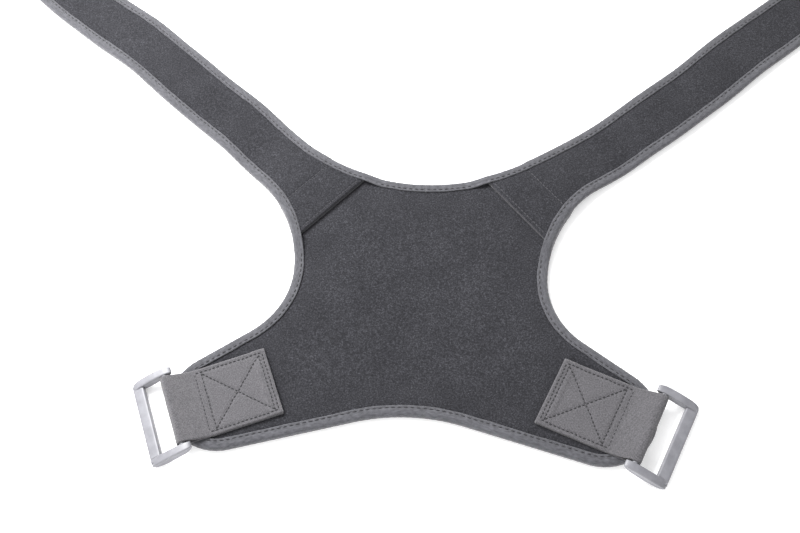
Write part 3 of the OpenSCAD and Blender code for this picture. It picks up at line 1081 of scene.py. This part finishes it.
def ring_shells():
    """The ring's arms and bars as overlapping solids, in the ring's own frame.

    u is the distance out from the round bar, v the one along it and w the height.
    """
    parts = []
    u0, u1 = -PIN_IN, RING_W - PIN_IN
    steps, sides = 70, 64
    turn = np.linspace(0, 2 * math.pi, sides + 1)[:-1]
    around = np.arange(sides + 1) * 0.3
    cos, sin = np.cos(turn), np.sin(turn)
    box_v, box_w = squared(cos, 0.3), squared(sin, 0.3)
    groove = 1 - 0.13 * bump(np.abs(cos), 1, 0.004)
    for sign in (-1, 1):
        v_mid = sign * (SLOT_LEN / 2 + ARM_W / 2)
        u = u0 + (u1 - u0) * (1 - np.cos(np.linspace(0, math.pi, steps))) / 2
        x = (2 * u - u0 - u1) / (u1 - u0)
        half_t = (BAR_T / 2 + (ARM_T - BAR_T) / 2 * (1 - x * x)) * (1 - np.abs(x) ** 7) ** 0.5 + 0.02
        half_w = ARM_W / 2 * (1 - 0.28 * np.abs(x) ** 5)
        inset = sign * (half_w - ARM_W / 2)
        points = np.stack(
            [np.broadcast_to(u[:, None], (steps, sides)),
             v_mid + inset[:, None] * 0.6 + half_w[:, None] * box_v * groove,
             half_t[:, None] * box_w], 2
        )
        parts.append(grid(points, u, around))
    v = np.linspace(-SLOT_LEN / 2 - ARM_W / 2, SLOT_LEN / 2 + ARM_W / 2, 200)
    mitre = 1 - 0.22 * bump(np.abs(v), SLOT_LEN / 2 + 0.5, 0.45)
    bars = (
        (0.0, PIN_R, PIN_R, 1.0, np.ones(len(v))),
        (u1 - BAR_W / 2, BAR_W / 2, BAR_T / 2, 0.35, mitre),
    )
    shape = (len(v), sides)
    for centre, half_u, half_w, power, taper in bars:
        points = np.stack(
            [np.broadcast_to(centre + half_u * squared(cos, power), shape),
             np.broadcast_to(v[:, None], shape),
             half_w * taper[:, None] * squared(sin, power)], 2
        )
        verts, faces, uvs = grid(points, v - v[0], around)
        parts.append((verts, [f[::-1] for f in faces], uvs))
    return merge(*parts)


def build_ring(side):
    """The moulded ring, sloping down from the webbing to the table."""
    verts, faces, uvs = ring_shells()
    u, v, w = verts.T
    c, s = math.cos(RING_TILT), math.sin(RING_TILT)
    along = PIN_X + u * c + w * s
    xy = from_tab(np.column_stack([along, v]))
    verts = np.column_stack([xy, PIN_Z - u * s + w * c])
    if side == "left":
        verts, faces, uvs = mirrored((verts, faces, uvs))
    obj = make(f"{side}_ring_moulding", verts, faces, uvs, PLASTIC)
    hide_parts(f"{side}_ring")
    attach(obj, f"{side}_ring")


# ---- hook tape


def build_hooks(side):
    """A stiff strip of hooks, sewn on all round."""
    s1 = TIP_S - TAPE_W - 1
    s0 = s1 - HOOK_LEN
    base_z = BAND_T - TAPE_T + 0.15
    half, corner_r = HOOK_W / 2, 8
    x0, x1, y = s0 + corner_r, s1 - corner_r, half - corner_r
    corners = ((x1, y, 90), (x1, -y, 0), (x0, -y, -90), (x0, y, -180))
    outline = np.concatenate(
        [arc(np.array([x, t]), corner_r, math.radians(a), math.radians(a - 90)) for x, t, a in corners]
    )
    centre = outline.mean(0)
    layers = []
    for scale, height in ((0.93, 0.0), (1.0, 0.0), (1.0, 0.45), (0.99, 0.6), (0.9, 0.55)):
        plan = from_strap(*(centre + (outline - centre) * scale).T)
        layers.append(np.column_stack([plan, np.full(len(outline), base_z + height)]))
    strip = grid(np.array(layers), np.arange(5.0), np.arange(len(outline) + 1.0))

    pitch_s, pitch_t = 1.75, 1.55
    rows, columns = np.arange(s0 + 5, s1 - 4.5, pitch_s), np.arange(-half + 4.2, half - 4, pitch_t)
    s, t = (a.ravel() for a in np.meshgrid(rows, columns, indexing="ij"))
    inside = gap_to(np.column_stack([s, t]), outline) > 2.6
    s, t = s[inside], t[inside]
    lean = np.where((np.round((t + half) / pitch_t).astype(int) % 2) == 0, 1.0, -1.0)
    # How far a hook has bent over, its height and its radius, from its foot to its tip
    stem = [
        (0, 0, 0.26), (0, 0.5, 0.2), (0.06, 0.85, 0.19),
        (0.3, 1.02, 0.17), (0.55, 0.9, 0.12), (0.62, 0.7, 0.05),
    ]
    turn = np.radians(np.arange(0, 360, 90) + 45)
    hooks = np.empty((len(s), len(stem), 4, 3))
    for j, (out, up, r) in enumerate(stem):
        ds = lean[:, None] * out + r * np.cos(turn)
        dt = r * np.sin(turn) * np.ones_like(ds)
        hooks[:, j, :, :2] = from_strap(s[:, None] + ds, t[:, None] + dt)
        hooks[:, j, :, 2] = base_z + 0.5 + up * 0.75
    field = repeated(hooks, np.arange(6.0) * 0.2, np.arange(5) * 0.2)
    obj = place("hook_field", merge(strip, field), side, HOOKS, [f"{side}_hook_tape"], True)
    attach(obj, f"{side}_strap_end")

    seam = centre + (outline - centre) * 0.945
    seam = np.vstack([seam, seam[:1]])
    path = np.column_stack([from_strap(*seam.T), np.full(len(seam), base_z + 0.62)])
    part = stitches(path, TAB_PITCH, 7, HOOK_THREAD_R)
    rows = place("hook_stitches", part, side, TAB_THREAD, [], True)
    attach(rows, f"{side}_strap_end")


for side in SIDES:
    build_webbing(side)
    tab_rows(side)
    build_ring(side)
    build_hooks(side)


# ---- floor, light and camera


def area_light(name, at, target, size, power):
    """A soft white light in watts, aimed at a target."""
    data = bpy.data.lights.new(name, "AREA")
    data.shape = "RECTANGLE"
    data.size, data.size_y = size
    data.energy = power
    light = bpy.data.objects.new(name, data)
    light.location = at
    light.rotation_euler = (Vector(target) - Vector(at)).to_track_quat("-Z", "Y").to_euler()
    bpy.context.scene.collection.objects.link(light)


def build_stage():
    """The pale floor, an even white surround and three soft lights, in metres."""
    size = 6.0
    mesh = bpy.data.meshes.new("floor")
    corners = [(x * size, y * size, 0) for x, y in ((-1, -1), (1, -1), (1, 1), (-1, 1))]
    mesh.from_pydata(corners, [], [(0, 1, 2, 3)])
    floor = bpy.data.objects.new("floor", mesh)
    floor.location.z = -0.0006      # clear of the stitches on the back
    bpy.context.scene.collection.objects.link(floor)
    m = Nodes("floor_paper", 0.9)
    paper = m.noise(4, 3)
    m.colour(m.ramp(paper, (0.3, (0.88, 0.88, 0.885, 1)), (0.7, grey(0.9))))
    m.shader.inputs["Emission Color"].default_value = grey(1)
    m.shader.inputs["Emission Strength"].default_value = 0.25
    floor.data.materials.append(m.material)

    world = bpy.data.worlds.new("studio")
    world.use_nodes = True
    world.node_tree.nodes["Background"].inputs["Color"].default_value = grey(1)
    world.node_tree.nodes["Background"].inputs["Strength"].default_value = 0.75
    bpy.context.scene.world = world

    middle = (0, 0.05, 0)
    area_light("key", (-0.7, 0.9, 1.5), middle, (1.6, 1.2), 26)
    area_light("fill", (-0.3, -1.1, 0.6), middle, (1.8, 0.6), 13)
    area_light("glow", (-0.5, 0.32, 0.72), (-0.25, 0.2, 0), (0.5, 0.5), 20)


def build_camera():
    """A view from high in front, turned a little about its own axis."""
    data = bpy.data.cameras.new("camera")
    data.lens = 60
    data.sensor_width = 36
    data.clip_start, data.clip_end = 0.01, 50
    camera = bpy.data.objects.new("camera", data)
    camera.location = (0.0722, -0.4641, 0.7944)
    target = Vector((-0.0143, 0.0116, 0))
    roll = Quaternion((0, 0, 1), math.radians(-7.2))
    camera.rotation_euler = ((target - camera.location).to_track_quat("-Z", "Y") @ roll).to_euler()
    bpy.context.scene.collection.objects.link(camera)
    bpy.context.scene.camera = camera


build_stage()
build_camera()
bpy.context.scene.view_settings.view_transform = "Standard"
